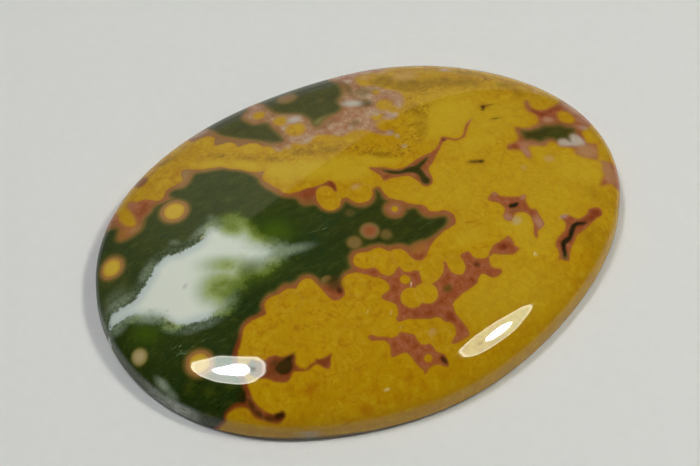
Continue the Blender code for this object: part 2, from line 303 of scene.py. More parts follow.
# Soft marks by field: x, y, half length, half width, turn in degrees, strength, softness
MARKS = {}
MARKS["amber"] = (
    (12.5, -.45, 1.1, .45, -22, .35, .8), (.05, 2.75, .55, .25, 0, .35, .9),
    (7.8, -6.6, .5, .1, -20, .8, .7), (2, -8.1, .5, .15, -30, .4, .7), (-6, -18, .6, .3, 0, .5, .7),
    (-14.6, -14.6, .7, .5, 20, .6, .7), (-12.9, -8.7, .3, .3, 0, .5, .7), (-16.5, -13.6, .5, .3, 0, .4, .7),
    (7.2, -5, .2, .8, 10, .4, .8), (-10.9, -18.6, .6, .5, 0, .6, .7), (17.5, 6.1, .55, .5, 0, .5, .8),
)
MARKS["blush"] = (
    (16.5, -3.1, .3, .3, 0, .4, .7), (19.6, -3.1, .5, .4, 0, .6, .7), (.05, 2.5, .45, .28, 0, .7, .8),
    (-1.75, -15.3, .4, .3, 20, .5, .7), (24.3, 6.3, .5, .35, 30, .5, .8), (12.9, 14.3, 1.2, .7, -15, .6, .8),
    (11.4, 16.5, .8, .5, 0, .5, .8), (9.2, 16.6, .5, .8, 0, .35, .8),
)
MARKS["buff"] = (
    (-26.88, -2.75, .55, .55, 0, 1, .6),
)
MARKS["chill"] = (
    (-9.8, -.6, 2.6, 1.4, -20, .7, .7), (-17.2, -3, 1.5, .6, 20, .6, .7), (-12.5, -.4, 2, 1, 0, .6, .7),
    (-14.6, 5.6, 1.2, .8, 10, .7, .7), (-24.2, -.1, 1.8, .8, -40, .8, .7),
)
MARKS["crimson"] = (
    (-17.3, 16.3, .85, .9, 0, .9, .3), (-17.5, 17.4, .8, .8, 0, .5, .5),
)
MARKS["crystal"] = (
    (5.75, 13.1, .95, .5, -30, 1, .7), (-.5, 14.25, .65, .5, 0, 1, .8),
)
MARKS["dark"] = (
    (-2.9, 4.4, .8, .1, -5, .2, .8), (5.9, -11.1, .35, .3, 0, .6, .6), (-7.45, -7.4, .3, .35, 0, .8, .7),
    (-18.35, -15.15, .55, .3, -10, .95, .4), (11.1, 3.65, .2, .2, 0, .7, .5),
    (-2.1, -18.1, .25, .5, 10, .9, .5), (12.95, -.6, .3, .2, -22, .9, .7), (17.4, 6, .26, .24, 0, .95, .5),
    (18.1, 5.97, .6, .12, -4, .6, .5), (17.55, 3.95, .6, .13, -15, .6, .5), (7.1, 12.2, .5, .45, 0, .4, .9),
    (9.4, -10.5, .25, .18, 0, .35, .6), (-23, -1.65, .16, .3, 20, .8, .5),
    (-23.35, -.75, .14, .14, 0, .6, .5), (-22.85, -2.15, .2, .16, 0, .6, .5),
    (-20.2, -3.25, .3, .1, -15, .5, .5), (-22.5, -.3, .1, .14, 0, .3, .6),
    (-19.9, 1.05, .32, .2, 25, .22, .6), (17.1, 5.65, .2, .22, 40, .7, .5),
    (-14.8, -11.1, .5, .25, 25, .6, .8), (-18.5, -10.1, .6, .25, 62, .85, .8),
)
MARKS["ember"] = (
    (1.7, -6.9, .9, .7, 0, .9, .6), (-22.2, 10.8, .8, 1.1, 0, .9, .5),
)
MARKS["fleck"] = (
    (-1, -10.05, .24, .06, 60, .9, .6), (-4.3, -11.85, .45, .05, 40, .25, .6),
    (-6.15, -10.65, .3, .06, 40, .2, .6), (-4.3, -13.65, .15, .07, 20, .3, .6),
    (-8.5, -17.95, .35, .06, -20, .6, .6), (11.9, -12.4, .2, .1, 20, .9, .6),
    (-15.9, 5.2, .12, .1, 0, .7, .6),
)
MARKS["ghost"] = (
    (-3.5, -3.4, .8, .8, 0, .48, .5), (-1.5, -2.95, .82, .82, 0, 1, .8), (-.3, -4.1, .7, .7, 0, .36, .6),
    (-2.1, -.1, .6, .6, 0, .25, .6), (.7, 18.1, 1.1, 1, 0, .6, .7), (3.3, 15.5, .6, .5, 0, .2, .7),
    (-8, -5.7, .6, .4, 0, .5, .5),
)
MARKS["hole"] = (
    (-16, -11.6, 1.7, 1.3, 0, 1, .3), (16.6, -12, 3, 1.6, 20, 1, .3), (12.9, -6.7, 1.5, 1, 0, 1, .3),
    (6.2, 1.2, 3.6, 2.6, 0, .6, .3), (-20.2, -13.2, 1, 2, 0, 1, .3),
)
MARKS["lilac"] = (
    (7.1, 10.3, .3, .3, 0, .6, .6), (8.3, 9.3, .3, .3, 0, .6, .6), (6.8, 7.1, .25, .3, 0, .6, .6),
    (7.2, 6.4, .25, .3, 0, .5, .6), (7.1, 4.8, .3, .25, 0, .5, .6), (-3, 10.9, .3, .3, 0, .5, .6),
    (-.8, 10.7, .35, .25, 0, .5, .6), (3.7, 9.9, .3, .3, 0, .5, .6), (12.2, -8.4, .45, .4, 30, .6, .8),
    (25.8, -.5, .55, .3, 0, .6, .8), (-9, 19, .9, .5, 0, .6, .6), (17.3, 13.4, .6, .3, -20, .6, .6),
    (17, -9.8, .45, .2, 0, .6, .8), (6.9, 10.5, .45, .35, 0, .6, .8), (8.1, 9.3, .6, .3, -10, .6, .8),
)
MARKS["murk"] = (
    (-7.5, -6.5, .75, .8, 0, .8, .7), (-20.2, -13, .2, .8, 3, .9, .7), (-19.95, -14, .2, .55, 25, .9, .7),
    (-19.3, -14.8, .2, .5, 50, .8, .7), (12.35, -.35, .7, .2, -22, .8, .7), (19.8, .3, 1, .5, 0, .35, .8),
    (-16.5, -10.85, .35, .35, 0, .7, .7), (-16, -11.4, 1, .75, 0, .6, .8),
)
MARKS["ochre"] = (
    (18.6, -12.7, 1.6, 1.6, 0, .45, .8), (22, -9, 2, 1, -50, .35, .8), (11.8, 12.4, 1.4, .7, -30, .7, .7),
    (14, 12, 1.6, .8, -10, .8, .7), (16, 11.3, 1.5, .8, -25, .8, .7), (18, 10.2, 1.4, .7, -30, .9, .7),
    (19, 11.9, 1.2, .5, -25, .6, .7), (21.6, 8.2, 1, .6, -40, .7, .7), (22.2, 6.5, .6, .9, 0, .6, .7),
    (10.5, 14.6, 1.2, 1, 0, 1, .6), (12.6, 12.9, 1.6, 1, -30, 1, .6), (-2, 9.4, 1.3, .4, -30, .8, .7),
    (.2, 8.3, 1.2, .4, -30, .8, .7), (4.4, 5, 1.2, .35, -35, .8, .7), (-5.3, 10.3, .7, .3, -30, .7, .7),
    (-9.4, 14, 1.2, .25, -35, .6, .7), (-7.2, 11.9, 1, .2, -35, .6, .7), (-14.2, 17.2, 1.6, .3, -10, .8, .7),
    (9.9, 6.2, .6, 1.2, -20, .6, .7), (10.9, 8.6, .7, 1.3, 0, .6, .7),
)
MARKS["olive"] = (
    (1.9, -12.1, .5, .35, 20, .9, .6), (22.6, 0, 1.8, .9, -10, .3, .8),
)
MARKS["pale"] = (
    (-10.4, 13, 2, .7, -40, .8, .7), (-8, 11, 2, .8, -42, .85, .7), (-5.2, 8.3, 2.1, 1.3, -40, 1, .7),
    (-2.6, 6.8, 2.4, 1.4, -30, 1, .7), (.2, 5.9, 2.4, 1.1, -22, .9, .7), (3, 4.7, 2, .9, -30, .8, .7),
    (-6.2, 13, 1, .9, 0, .6, .6), (-8.1, 15.1, .9, .6, -30, .5, .6), (-24.7, 7.75, 1.8, 1.8, 0, .6, .3),
    (21.6, -5.4, 3.2, 2, -30, .8, .7), (19, -1.8, 2.4, 1, -10, .5, .7), (13.5, 6.2, 4, 3, 10, .95, .7),
    (8, -2.5, 7, 4, 20, .5, .7), (13.5, 1.9, 3.2, 1.2, 0, .75, .8), (.7, 4.4, 2.6, 1.1, -15, .9, .7),
    (7, -14.5, 6, 3.5, -15, .5, .7), (13, -9.6, 3, 3, 0, .75, .8), (7, -8, 2, 1, 0, .7, .8),
    (17, -6, 6, 5, 20, .5, .7), (17.5, 4, 4, 3, 0, .6, .7),
)
MARKS["red"] = (
    (-1.5, -2.95, .25, .25, 0, .4, .6), (-1.85, 3.8, .25, .8, -3, .8, .5), (-4.4, 4.2, .9, .7, 0, .7, .6),
    (20.5, -10.5, .6, .45, 0, .9, .5), (9.3, -10.5, .5, .4, 0, .9, .5), (-1, -13.4, 1.2, .8, 0, .4, .7),
    (.6, -14.7, .5, .5, 0, .8, .5), (5.8, 11.3, .4, .4, 0, .5, .5), (23.2, 2.7, 1.2, .35, 10, .5, .7),
    (22, 3.3, .3, .5, 0, .6, .7), (24.8, 3, .9, .35, 5, .5, .7), (17, -.3, .6, .3, 0, .4, .7),
    (19.3, -10.9, 1.4, .3, 12, .9, .6), (14.2, -8.3, .3, .6, 0, .3, .7),
)
MARKS["rose"] = (
    (2, -1.85, .75, .75, 0, .55, .3), (3.6, 12.2, .6, .6, 0, .7, .6), (2.6, 10.2, .5, .4, 0, .6, .6),
    (7.8, 14, .5, .5, 0, .7, .6), (10, 12, .7, .8, 0, .7, .6), (13.5, 14.3, .6, .4, -20, .7, .6),
    (12.5, 14.8, .5, .4, -20, .6, .6), (12.7, 8.25, .7, .3, -35, .8, .6), (-17.3, 16.3, .8, .6, 30, .8, .6),
    (-1.8, -15.3, .4, .35, 0, .6, .6), (-21, 12.2, .9, 1.8, 0, .3, .7), (-19.6, 14, .6, 1.2, 0, .3, .7),
    (20.4, 1.2, 1.4, .35, 0, .5, .7), (22.6, 1.6, .6, .5, 0, .9, .7), (26.4, 2.9, .9, 1.7, 0, .9, .5),
    (26.3, .7, .7, .9, 0, .6, .7), (19.7, -1, 1.5, .35, 0, .7, .7), (17.9, -1.5, .5, .8, 0, .8, .7),
    (18.6, -.5, .8, .5, 0, .6, .7), (24.1, -3.6, 1.2, 1, 0, .55, .6), (24.9, -.2, .9, .4, 0, .5, .7),
    (14.2, -9.6, .45, .9, 0, .8, .7), (14.4, -6.2, .4, .35, 0, .7, .7), (11.5, -7.7, .5, .5, 0, .7, .7),
    (24.8, -6.5, 1.1, 1.8, 0, .5, .6), (12, -4.7, .4, .3, 0, .5, .7), (26.6, -5.8, .8, 2, 0, .6, .6),
    (15, 4.8, .5, .25, 30, .6, .7), (10.1, 10.5, .5, .5, 0, .8, .7),
)
MARKS["rust"] = (
    (-1.9, 3.8, .5, .9, 0, .7, .6), (-22.5, -13, 3.6, 2.8, 0, 1, .4), (-19, -9.5, 2.2, 4.2, 0, 1, .4),
    (-16, -12, 2.2, 2, 0, .7, .4), (-17.9, -15, 2, 1.5, 0, 1, .4), (-15.5, -6, 2.6, 1.3, 0, .6, .6),
    (-19.1, 12, .7, .6, 0, .5, .8), (-13.2, -12.7, 2.2, 1, 0, .9, .4),
)
MARKS["sand"] = (
    (-26.88, -2.75, .86, .86, 0, .95, .25), (1.7, 12.4, 1.1, .5, 10, .7, .8),
)
MARKS["scratch"] = (
    (-23, -4.7, 1.8, 1.2, -25, .9, .6), (-5.3, -.7, 1.3, .6, -10, .5, .6),
)
MARKS["tan"] = (
    (-16.6, 9.87, 1.8, 1.8, 0, 1, .15), (-24.7, 7.75, 2, 2, 0, 1, .2), (-22.5, -6.95, 2, 2, 0, 1, .2),
    (-20.6, 10.2, 1, .45, 0, .6, .7), (24, -3.5, 1.3, .9, 0, .5, .7), (24.8, -6.3, .9, 1.5, 0, .35, .7),
)
MARKS["thin"] = (
    (-17, -1.1, 2, 1.9, 0, .6, .8), (-14.4, -.5, 1.7, 1, 0, .42, .9), (-15.2, .6, 2.4, 1, -33, .5, .9),
    (-12.9, 4.5, .9, 1, 0, .5, .9), (-10.9, 3.2, .7, 1.4, 0, .25, .9), (-16.8, -3.2, 1, .7, 0, .3, .9),
)
MARKS["umber"] = (
    (-5, 3.2, .7, .6, 0, .55, .8), (-22.6, 12.6, .9, .5, 30, .5, .8), (12.7, -7.3, .5, .25, 0, .5, .8),
    (6.65, 12.6, .8, .6, 0, .9, .7), (4.45, 10.25, .6, .5, 0, .6, .7), (6.6, 16, .5, 2, 0, .8, .7),
    (7.6, 14.2, .8, .8, 0, .7, .7), (5.2, 13.9, .3, .7, 0, .6, .7), (1.8, 11.7, 1.1, .4, 10, .5, .7),
    (7.1, 12.3, .5, .6, 0, .8, .7), (8.7, 13.7, .5, .5, 0, .6, .8),
)
MARKS["wisp"] = (
    (-18.4, 6.3, .5, .3, -40, .3, .8), (-14, 6.6, .4, .6, 10, .25, .8), (-15.2, 6, 1.4, .4, 12, .4, .8),
    (-22.2, 4.8, 1.1, .5, 35, .35, .8), (-26, 3.6, 1.6, .6, -5, .35, .8), (-23, -2.2, .8, .5, -40, .3, .8),
    (-20.5, -3.7, 1.8, .4, -10, .25, .8), (-27.2, 1.3, 1, .6, 0, .4, .8), (-24.6, .6, 1.2, .4, -45, .3, .8),
    (-26, 4.4, 1.4, .7, 0, .15, .8), (-9.4, -.95, 1.9, .5, -15, .55, .8), (-24.3, .1, 1.6, .5, -38, .5, .8),
    (-25.8, 1.4, .9, .5, -20, .5, .8), (-26.25, -6.5, .35, .9, 15, .7, .8),
    (-26.0, -7.6, .3, .8, 20, .4, .8),
)

# Faint outlines of orbs that the yellow has joined: x, y, half long, half wide, turn, strength
LOBES = (
    (-3.05, 2.65, 1.1, 1.6, 0, .9), (0, 1.55, 1.3, 1.2, 0, .6), (1.9, 2.9, 1, 1.1, 0, .5),
    (3.9, .3, 1.7, 1.5, -30, .4), (-1.7, -11.4, 1.1, 1.1, 0, .7), (-.2, -11.6, 1.15, 1.15, 0, .7),
    (3.95, -10.3, .85, 1.05, 0, .6), (-2.3, -7, 1, 1.2, 0, .5), (-.3, -7.4, .8, 1.3, 10, .5),
    (-3.9, -5.8, 1, .95, 0, .5), (-6, -7.6, 1.1, 1.2, 0, .5), (7.9, -11.6, .8, .75, 0, .7),
    (-2.8, -15.4, .7, .6, 0, .7), (-1.2, -16.4, 1.1, .9, 20, .5), (8.4, .3, 1, 1, 0, .4),
    (1.6, -9.6, 1.2, 1.1, 0, .5), (-12.2, -6, 1.2, 1.1, 0, .5), (-10.1, -5.9, 1, 1.2, 0, .5),
)

# The middle of the granular ochre band and its half width
GRAIN_BAND = (
    (-11, 15.2, .4), (-9, 13.5, .4), (-7, 11.8, .4), (-5, 10.2, .5), (-2.3, 9.7, .7), (-.3, 8.8, .9),
    (1.5, 7.9, .9), (2.9, 6.8, .8), (4.5, 5.5, .8), (6.4, 4.6, .9), (8, 5.4, 1.1), (9.6, 7, 1.2),
    (11.2, 9, 1.3), (12.5, 11.5, 1.3), (16, 11.5, 1), (20, 10, .8),
)

# Painted glow, standing in for light through the translucent green, where it is painted yellow green: x, y,
# reach along X, reach along Y, strength
PAINTED_GLOWS = ((-9.4, 2, 1.7, 1.7, 1), (-12.6, -1.6, 1.8, 1, .5), (-25, -1, 1.4, 1.5, .6))

# Zones of the stone, each a product of smooth steps: axis, where it is 0, where it is 1
ZONES = {
    "lobes": ((0, -17.5, -19.5), (1, 7.5, 9)),
    "right": ((0, 6, 12),),
    "eye": ((0, 15, 18), (1, -9.5, -8)),
    "south": ((1, -11.5, -17),),
    "east": ((0, -9, 3),),
    "north": ((1, 5.5, 8.5), (0, -16, -14), (0, 3, -2)),
    "low": ((1, 0, -10),),
}

# Half the width of the soft step between the yellow and the pink, in mm, and what the zones add to it
EDGE_BLUR = 0.115
ZONE_BLURS = {"upper": 0.22, "lobes": 0.18, "right": 0.02, "eye": 0.18, "tan": 0.06, "rust": 0.05}

# The painted contact shadow along the bottom of the front wall, by X, and the frosting on the left wall, by
# degrees round it
FOOT_SHADOW_X = (-27, -23, -18, -14, -9, -3, 3)
FOOT_SHADOW_TOP = (0.2, 0.3, 0.65, 0.65, 0.4, 0.3, 0.12)
NO_FOOT_SHADOW = -0.2
FROST_TURN = (165, 172, 180, 186, 190, 194, 199, 203, 205.5)
FROST_SHARE = (0, 0.25, 0.15, 0.1, 0.15, 0.45, 0.75, 0.5, 0)
FROST_SPOT = (228.6, 2.6, 0.4)

# Distances from an outline are held within this reach
FAR = 2.5

# How many places are measured against an outline at once
BATCH = 4000


def settle(x, y):
    """Carries a place read on the photo's plan onto the finished stone."""
    u, v = x / 10, y / 10
    return (
        x + 0.437 + 0.032 * u - 0.086 * v - 0.019 * u * u + 0.012 * u * v - 0.045 * v * v,
        y + 0.566 + 0.134 * u + 0.084 * v - 0.038 * u * u + 0.012 * u * v - 0.073 * v * v,
    )


def outline_radius(angle):
    radius = 1.0 / np.hypot(np.cos(angle) / HALF_LENGTH, np.sin(angle) / HALF_WIDTH)
    for waves, c, s in SWELLINGS:
        radius = radius + c * np.cos(waves * angle) + s * np.sin(waves * angle)
    return radius


def box_middle():
    """Middle of the outline's box, which is the CAD frame's origin."""
    angle = np.linspace(0, 2 * pi, OUTLINE_TURNS + 1)[:-1]
    x = outline_radius(angle) * np.cos(angle)
    y = outline_radius(angle) * np.sin(angle)
    return (x.min() + x.max()) / 2, (y.min() + y.max()) / 2


MIDDLE_X, MIDDLE_Y = box_middle()


def even_reach(share):
    """The plan reach, 0 to 1, at an even share of the way down the dome's curve."""
    turn = np.linspace(0, pi / 2, CURVE_STEPS + 1)
    steps = np.hypot(np.diff(MEAN_RADIUS * np.sin(turn)), np.diff(DOME_RISE * np.cos(turn)))
    run = np.concatenate([[0], np.cumsum(steps)])
    return np.sin(np.interp(share * run[-1], run, turn))


def disc_grid():
    """A rectangular grid laid evenly on the unit disc, as X and Y of each crossing."""
    a, b = np.meshgrid(np.linspace(-1, 1, GRID_LONG + 1), np.linspace(-1, 1, GRID_WIDE + 1))
    wide = np.abs(a) > np.abs(b)
    safe_a = np.where(a == 0, 1, a)
    safe_b = np.where(b == 0, 1, b)
    share = np.where(wide, a, b)
    turn = np.where(wide, pi / 4 * b / safe_a, pi / 2 - pi / 4 * a / safe_b)
    return share * np.cos(turn), share * np.sin(turn)


def on_plan(radius, angle):
    return radius * np.cos(angle) - MIDDLE_X, radius * np.sin(angle) - MIDDLE_Y


def polar(x, y):
    """Distance of a place from the oval's own middle, and its angle round it."""
    return np.hypot(x + MIDDLE_X, y + MIDDLE_Y), np.arctan2(y + MIDDLE_Y, x + MIDDLE_X)


def dome_height(x, y):
    """Height of the dome over a place in the plan, which is the rim's height outside it."""
    radius, angle = polar(x, y)
    reach = np.clip(radius / (outline_radius(angle) - WALL_DRAFT), 0, 1)
    return GIRDLE_HEIGHT + DOME_RISE * np.sqrt(1 - reach ** 2)


def make_dome():
    """The dome's vertices, faces and bake places, and the rim's vertices with their angles and turns."""
    dx, dy = disc_grid()
    share = np.clip(np.hypot(dx, dy), 0, 1)
    turn = np.arctan2(dy, dx)
    angle = np.arctan2(HALF_WIDTH * np.sin(turn), HALF_LENGTH * np.cos(turn))
    reach = even_reach(share)
    x, y = on_plan((outline_radius(angle) - WALL_DRAFT) * reach, angle)
    z = GIRDLE_HEIGHT + DOME_RISE * np.sqrt(np.clip(1 - reach ** 2, 0, 1))
    points = np.stack([x, y, z], -1).reshape(-1, 3)
    index = np.arange(len(points)).reshape(GRID_WIDE + 1, GRID_LONG + 1)
    quads = np.stack([index[:-1, :-1], index[:-1, 1:], index[1:, 1:], index[1:, :-1]], -1).reshape(-1, 4)
    rim = np.concatenate([index[0, :-1], index[:-1, -1], index[-1, :0:-1], index[:0:-1, 0]])
    bake = np.stack([dx, dy], -1).reshape(-1, 2) * DOME_RUN
    return points, quads, bake, rim, angle.ravel()[rim], turn.ravel()[rim]


def wall_rows():
    """Inset from the outline and height of each row of vertices, from under the rim to the flat back."""
    rows = []
    for k in range(1, WALL_ROWS + 1):
        down = k / WALL_ROWS
        rows.append((WALL_DRAFT * (1 - down), GIRDLE_HEIGHT + (BACK_BEVEL - GIRDLE_HEIGHT) * down))
    for k in range(1, BEVEL_ROWS + 1):
        turn = pi / 2 * k / BEVEL_ROWS
        rows.append((BACK_BEVEL * (1 - cos(turn)), BACK_BEVEL * (1 - sin(turn))))
    return rows


def back_places():
    """An even triangular grid of places on the flat back, clear of its edge."""
    row_step = BACK_STEP * 0.866
    rows = int(2 * HALF_WIDTH / row_step)
    columns = int(2 * HALF_LENGTH / BACK_STEP)
    row, column = np.mgrid[-rows:rows + 1, -columns:columns + 1].reshape(2, -1)
    x = (column + 0.5 * (row % 2)) * BACK_STEP
    y = row * row_step
    radius, angle = polar(x, y)
    clear = radius < outline_radius(angle) - BACK_BEVEL - BACK_MARGIN
    return np.stack([x, y], -1)[clear]


def make_skin():
    """Vertices, the dome and wall's faces, the back's faces, and the dome and wall's bake places."""
    dome, quads, dome_bake, last, rim_angle, rim_turn = make_dome()
    points, faces, bake = [dome], [quads], [dome_bake]
    count = len(dome)
    run = DOME_RUN
    before = (WALL_DRAFT, GIRDLE_HEIGHT)
    for inset, height in wall_rows():
        run += hypot(inset - before[0], height - before[1])
        before = (inset, height)
        x, y = on_plan(outline_radius(rim_angle) - inset, rim_angle)
        points.append(np.stack([x, y, np.full(len(last), height)], -1))
        bake.append(np.stack([run * np.cos(rim_turn), run * np.sin(rim_turn)], -1))
        ring = count + np.arange(len(last))
        count += len(ring)
        faces.append(np.stack([last, ring, np.roll(ring, -1), np.roll(last, -1)], -1))
        last = ring
    inner = back_places()
    flat = [Vector(p) for p in np.concatenate([points[-1][:, :2], inner]).tolist()]
    placed, _, cells, _, _, _ = delaunay_2d_cdt(flat, [], [list(range(len(last)))], 1, 1e-7)
    assert len(placed) == len(flat)
    points.append(np.array([(p.x, p.y, 0.0) for p in placed[len(last):]]))
    renumber = np.concatenate([last, count + np.arange(len(inner))])
    back = renumber[np.array([list(reversed(cell)) for cell in cells])]
    return np.concatenate(points), np.concatenate(faces), back, np.concatenate(bake) / run


def skin_normals(points):
    """Exact normals, so that the polish shows no facets."""
    x, y, z = points.T
    out, angle = polar(x, y)
    step = 1e-4
    near = 1e-6
    radius = outline_radius(angle)
    slope = (outline_radius(angle + step) - outline_radius(angle - step)) / (2 * step)
    out_x = np.cos(angle) + slope / radius * np.sin(angle)
    out_y = np.sin(angle) - slope / radius * np.cos(angle)
    reach = np.clip(out / (radius - WALL_DRAFT), 0, 1)
    fall = np.sqrt(np.clip(1 - reach ** 2, 0, 1))
    sideways = DOME_RISE * reach / (radius - WALL_DRAFT)
    dome = np.stack([out_x * sideways, out_y * sideways, np.hypot(fall, SHOULDER_LIFT * sideways)], -1)
    lift = np.interp(z, (BACK_BEVEL, GIRDLE_HEIGHT), (BEVEL_LIFT, SHOULDER_LIFT))
    wall = np.stack([out_x, out_y, lift], -1)
    down = np.clip((BACK_BEVEL - z) / BACK_BEVEL, 0, 1)
    level = np.sqrt(np.clip(1 - down ** 2, 0, 1))
    bevel = np.stack([out_x * level, out_y * level, -down], -1)
    normal = np.where((z > BACK_BEVEL + near)[:, None], wall, bevel)
    normal = np.where((z >= GIRDLE_HEIGHT - near)[:, None], dome, normal)
    on_back = (z < near) & (out < radius - BACK_BEVEL - 0.05)
    normal = np.where(on_back[:, None], np.array([0, 0, -1.0]), normal)
    return normal / np.linalg.norm(normal, axis=1)[:, None]


def smooth_closed(points, steps=3):
    """A closed curve through an outline's settled places, as short straight pieces."""
    p = np.stack(settle(*np.reshape(points, (-1, 2)).T), 1)
    before, after, beyond = np.roll(p, 1, 0), np.roll(p, -1, 0), np.roll(p, -2, 0)
    pieces = []
    for step in range(steps):
        t = step / steps
        pieces.append(0.5 * (2 * p + (after - before) * t + (2 * before - 5 * p + 4 * after - beyond) * t ** 2
                             + (3 * p - before - 3 * after + beyond) * t ** 3))
    return np.stack(pieces, 1).reshape(-1, 2)


def depth_inside(x, y, points):
    """Distance from a closed outline in mm, positive inside it, and held between -FAR and FAR."""
    line = smooth_closed(points)
    low, high = line.min(0) - FAR, line.max(0) + FAR
    near = np.flatnonzero((x > low[0]) & (x < high[0]) & (y > low[1]) & (y < high[1]))
    found = np.full(len(x), -FAR)
    sx, sy = line.T
    ex, ey = (np.roll(line, -1, 0) - line).T
    length = np.maximum(ex ** 2 + ey ** 2, 1e-9)
    for at in range(0, len(near), BATCH):
        part = near[at:at + BATCH]
        px = x[part][:, None] - sx
        py = y[part][:, None] - sy
        along = np.clip((px * ex + py * ey) / length, 0, 1)
        gap = np.sqrt(((px - along * ex) ** 2 + (py - along * ey) ** 2).min(1))
        crosses = (py >= 0) != (y[part][:, None] >= np.roll(sy, -1))
        side = (px * ey - py * ex) * np.where(ey > 0, 1, -1) < 0
        inside = (crosses & side).sum(1) % 2 == 1
        found[part] = np.where(inside, gap, -gap).clip(-FAR, FAR)
    return found


def smooth_step(low, high, value):
    t = np.clip((value - low) / (high - low), 0, 1)
    return t * t * (3 - 2 * t)


def over_mark(x, y, middle, half_long, half_wide, turn):
    """How far along and across a turned mark each place lies, where 1 is its edge."""
    c, s = cos(radians(turn)), sin(radians(turn))
    dx, dy = x - middle[0], y - middle[1]
    return (dx * c + dy * s) / half_long, (-dx * s + dy * c) / half_wide


def lean(x, y, depth):
    """Below the surface the seams lean, so the back shows the same rock a few millimetres on."""
    return (x + depth * (0.55 * np.sin(0.17 * x + 0.11 * y + 0.6) + 0.25 * np.sin(0.31 * y - 0.09 * x)),
            y + depth * (0.5 * np.sin(0.14 * y - 0.19 * x + 2.1) + 0.25 * np.sin(0.27 * x + 0.16 * y + 1.0)))


def outline_fields(rx, ry, z):
    """Depth inside the pink and inside the green, less the orbs, and depth inside the white moss."""
    opening = np.max([depth_inside(rx, ry, edge) for edge in EDGES], 0)
    core = np.max([depth_inside(rx, ry, inner) for inner in CORES], 0)
    for ox, oy, yellow, ring in ORBS:
        cx, cy = settle(ox, oy)
        gap = np.sqrt((rx - cx) ** 2 + (ry - cy) ** 2 + (z - dome_height(cx, cy)) ** 2)
        opening = np.minimum(opening, gap - yellow)
        core = np.minimum(core, gap - ring)
    moss = depth_inside(rx, ry, WHITE_EDGE)
    return {
        "opening": opening,
        "core": np.minimum(core, opening),
        "whiteedge": moss,
        "inland": smooth_step(0.4, 1.1, moss),
        "eyewhite": smooth_step(-0.30, 0.35, depth_inside(rx, ry, EYE_WHITE)),
    }


def mark_fields(rx, ry, z, depth):
    """The soft marks, the joined orbs' outlines, the painted glows and the granular band."""
    found = {}
    for name, marks in MARKS.items():
        found[name] = np.zeros(len(z))
        for mx, my, half_long, half_wide, turn, strength, soft in marks:
            middle = settle(mx, my)
            u, v = over_mark(rx, ry, middle, half_long, half_wide, turn)
            w = (z - dome_height(*middle)) / (0.5 * (half_long + half_wide))
            size = np.sqrt(u * u + v * v + w * w)
            found[name] = np.maximum(found[name], strength * smooth_step(1 + soft, 1 - soft, size))
    found["lobe"] = np.zeros(len(z))
    for mx, my, half_long, half_wide, turn, strength in LOBES:
        u, v = over_mark(rx, ry, settle(mx, my), half_long, half_wide, turn)
        off = (np.hypot(u, v) - 1) * (half_long + half_wide) / 2
        found["lobe"] = np.maximum(found["lobe"], strength * np.exp(-(off / 0.11) ** 2 - depth ** 2))
    found["painted_glow"] = sum(strength * np.exp(-((rx - gx) / long) ** 2 - ((ry - gy) / wide) ** 2)
                        for gx, gy, long, wide, strength in PAINTED_GLOWS)
    found["grain"] = np.zeros(len(z))
    for (ax, ay, _), (bx, by, wide) in zip(GRAIN_BAND, GRAIN_BAND[1:]):
        p, q = np.array(settle(ax, ay)), np.array(settle(bx, by))
        d = q - p
        along = np.clip(((rx - p[0]) * d[0] + (ry - p[1]) * d[1]) / (d @ d), 0, 1)
        gap = np.hypot(rx - p[0] - along * d[0], ry - p[1] - along * d[1])
        found["grain"] = np.maximum(found["grain"], smooth_step(wide * 1.5, wide * 0.5, gap))
    return found


def zone_fields(rx, ry):
    """Where the rock's colours and the softness of its edges change."""
    found = {}
    for name, steps in ZONES.items():
        found[name] = 1.0
        for axis, none, full in steps:
            found[name] = found[name] * smooth_step(none, full, (rx, ry)[axis])
    found["upper"] = (smooth_step(8.5, 10.5, ry + 2.5 * smooth_step(3.5, 5.5, rx))
                      * smooth_step(-5.5, -3.5, rx) * smooth_step(13.5, 11.5, rx))
    found["far"] = smooth_step(11.5, 14.0, ry + 0.25 * (rx + 8)) * smooth_step(-16.0, -12.0, rx)
    # The white moss is crisp on its upper left side and thins out slowly elsewhere
    fade = smooth_step(-16.5, -12.5, rx) + 0.7 * smooth_step(-20.0, -17.0, rx) * smooth_step(0.5, -2.0, ry)
    found["fade"] = np.minimum(fade + 0.6 * smooth_step(1.8, 0.6, ry) * smooth_step(-20.5, -23.5, rx), 1.0)
    return found


def wall_fields(x, y, z):
    """The duller wall, a painted contact shadow along its bottom edge, and the frosting on its left side."""
    radius, angle = polar(x, y)
    heading = np.degrees(angle) % 360
    outer = radius > outline_radius(angle) - BACK_BEVEL - 0.02
    # Painted shade: how high the painted contact shadow reaches up the front wall; none along the back
    foot_shadow_top = np.where(y < 0, np.interp(x, FOOT_SHADOW_X, FOOT_SHADOW_TOP), NO_FOOT_SHADOW)
    at, wide, share = FROST_SPOT
    frost = np.interp(heading, FROST_TURN, FROST_SHARE) * smooth_step(2.5, 1.7, z)
    spot = share * np.exp(-((heading - at) / wide) ** 2) * smooth_step(1.8, 1.3, z)
    return {
        "wall": smooth_step(3.1, 2.0, z),
        "foot_shadow": outer * smooth_step(foot_shadow_top + 0.12, foot_shadow_top - 0.08, z),
        "frost": np.maximum(frost, spot * (z > 1e-4)),
    }


def fields(points):
    """Every marking as one value for each vertex."""
    x, y, z = points.T
    depth = np.maximum(dome_height(x, y) - z, 0)
    depth[depth < 1e-4] = 0
    rx, ry = lean(x, y, depth)
    found = {
        **outline_fields(rx, ry, z),
        **mark_fields(rx, ry, z, depth),
        **zone_fields(rx, ry),
        **wall_fields(x, y, z),
    }
    found["blur"] = EDGE_BLUR + sum(share * found[name] for name, share in ZONE_BLURS.items())
    return found


